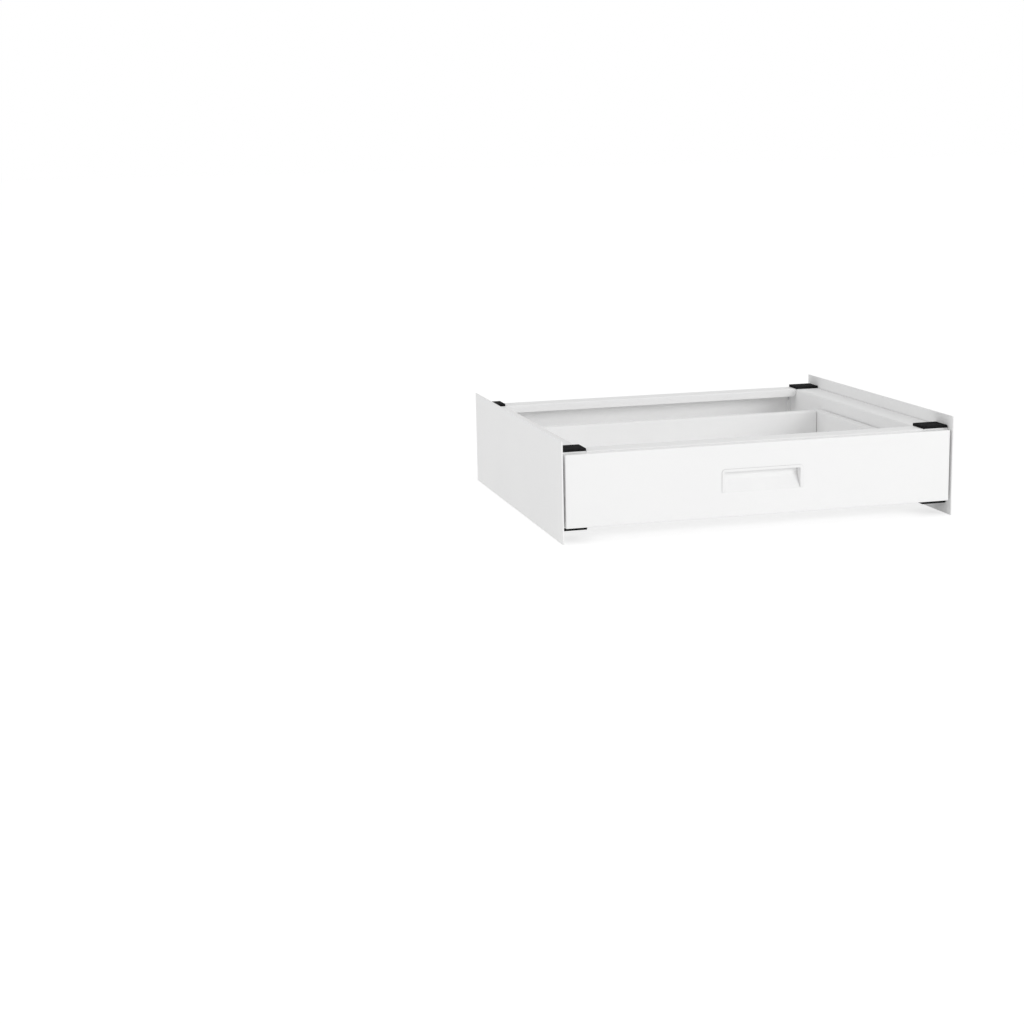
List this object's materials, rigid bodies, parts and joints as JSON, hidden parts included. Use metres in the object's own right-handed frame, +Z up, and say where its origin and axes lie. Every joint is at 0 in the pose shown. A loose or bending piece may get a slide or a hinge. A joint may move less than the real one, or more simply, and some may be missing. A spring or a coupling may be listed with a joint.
{
  "type": "washer dryer stacking kit",
  "caption": "White sheet-steel frame with a shallow drawer on ball-bearing slides, which stands on a washing machine and carries a tumble dryer between its side panels.",
  "frame": {"origin": "bottom centre of the whole kit, level with the lower edges of the two side panels", "axes": "+X to the right seen from the front, +Y towards the back, +Z up; the drawer opens towards -Y"},
  "size_m": [0.612, 0.541, 0.151],
  "materials": {
    "white_coated_steel": "white powder coat, satin",
    "white_board": "white lacquer, satin",
    "white_plastic": "white, satin",
    "zinc_steel": "zinc plated",
    "ball_steel": "polished",
    "black_rubber": "matte",
    "buffer_plastic": "matte"
  },
  "bodies": {
    "frame": {"side_panel_left": "white_coated_steel", "side_panel_right": "white_coated_steel", "side_channel_left": "white_coated_steel", "side_channel_right": "white_coated_steel", "front_end_plate_left": "white_coated_steel", "front_end_plate_right": "white_coated_steel", "rear_end_plate_left": "white_coated_steel", "rear_end_plate_right": "white_coated_steel", "rear_cross_member": "white_coated_steel", "front_top_rail": "white_coated_steel", "front_bottom_rail": "white_coated_steel", "top_pad_front_left": "black_rubber", "top_pad_front_right": "black_rubber", "top_pad_rear_left": "black_rubber", "top_pad_rear_right": "black_rubber", "bottom_pad_front_left": "black_rubber", "bottom_pad_front_right": "black_rubber", "bottom_pad_rear_left": "black_rubber", "bottom_pad_rear_right": "black_rubber", "slide_outer_rail_left": "zinc_steel", "slide_outer_rail_right": "zinc_steel", "slide_buffer_left": "buffer_plastic", "slide_buffer_right": "buffer_plastic", "top_rail_screws": "zinc_steel", "bottom_rail_screws": "zinc_steel", "rear_member_rivets": "zinc_steel", "slide_frame_screws_left": "zinc_steel", "slide_frame_screws_right": "zinc_steel"},
    "drawer": {"drawer_front": "white_board", "drawer_pull": "white_plastic", "drawer_inner_front": "white_coated_steel", "drawer_side_left": "white_coated_steel", "drawer_side_right": "white_coated_steel", "drawer_back": "white_coated_steel", "drawer_floor": "white_coated_steel", "slide_inner_rail_left": "zinc_steel", "slide_inner_rail_right": "zinc_steel", "drawer_front_screws": "zinc_steel", "drawer_corner_rivets": "zinc_steel", "drawer_floor_rivets": "zinc_steel", "slide_drawer_screws_left": "zinc_steel", "slide_drawer_screws_right": "zinc_steel"},
    "middle_rail_left": {"slide_middle_rail_left": "zinc_steel"},
    "outer_cage_left": {"outer_ball_cage_left": "zinc_steel", "outer_balls_left": "ball_steel"},
    "inner_cage_left": {"inner_ball_cage_left": "zinc_steel", "inner_balls_left": "ball_steel"},
    "middle_rail_right": {"slide_middle_rail_right": "zinc_steel"},
    "outer_cage_right": {"outer_ball_cage_right": "zinc_steel", "outer_balls_right": "ball_steel"},
    "inner_cage_right": {"inner_ball_cage_right": "zinc_steel", "inner_balls_right": "ball_steel"}
  },
  "joints": [
    {"name": "drawer_slide", "type": "slide", "parent": "frame", "child": "drawer", "axis": [0, -1, 0], "range_m": [0, 0.35]},
    {"name": "middle_rail_left_slide", "type": "slide", "parent": "frame", "child": "middle_rail_left", "axis": [0, -1, 0], "range_m": [0, 0.175]},
    {"name": "outer_cage_left_slide", "type": "slide", "parent": "frame", "child": "outer_cage_left", "axis": [0, -1, 0], "range_m": [0, 0.0875]},
    {"name": "inner_cage_left_slide", "type": "slide", "parent": "frame", "child": "inner_cage_left", "axis": [0, -1, 0], "range_m": [0, 0.2625]},
    {"name": "middle_rail_right_slide", "type": "slide", "parent": "frame", "child": "middle_rail_right", "axis": [0, -1, 0], "range_m": [0, 0.175]},
    {"name": "outer_cage_right_slide", "type": "slide", "parent": "frame", "child": "outer_cage_right", "axis": [0, -1, 0], "range_m": [0, 0.0875]},
    {"name": "inner_cage_right_slide", "type": "slide", "parent": "frame", "child": "inner_cage_right", "axis": [0, -1, 0], "range_m": [0, 0.2625]}
  ],
  "couplings": [
    {"joint": "middle_rail_left_slide", "follows": "drawer_slide", "ratio": 0.5},
    {"joint": "outer_cage_left_slide", "follows": "drawer_slide", "ratio": 0.25},
    {"joint": "inner_cage_left_slide", "follows": "drawer_slide", "ratio": 0.75},
    {"joint": "middle_rail_right_slide", "follows": "drawer_slide", "ratio": 0.5},
    {"joint": "outer_cage_right_slide", "follows": "drawer_slide", "ratio": 0.25},
    {"joint": "inner_cage_right_slide", "follows": "drawer_slide", "ratio": 0.75}
  ]
}
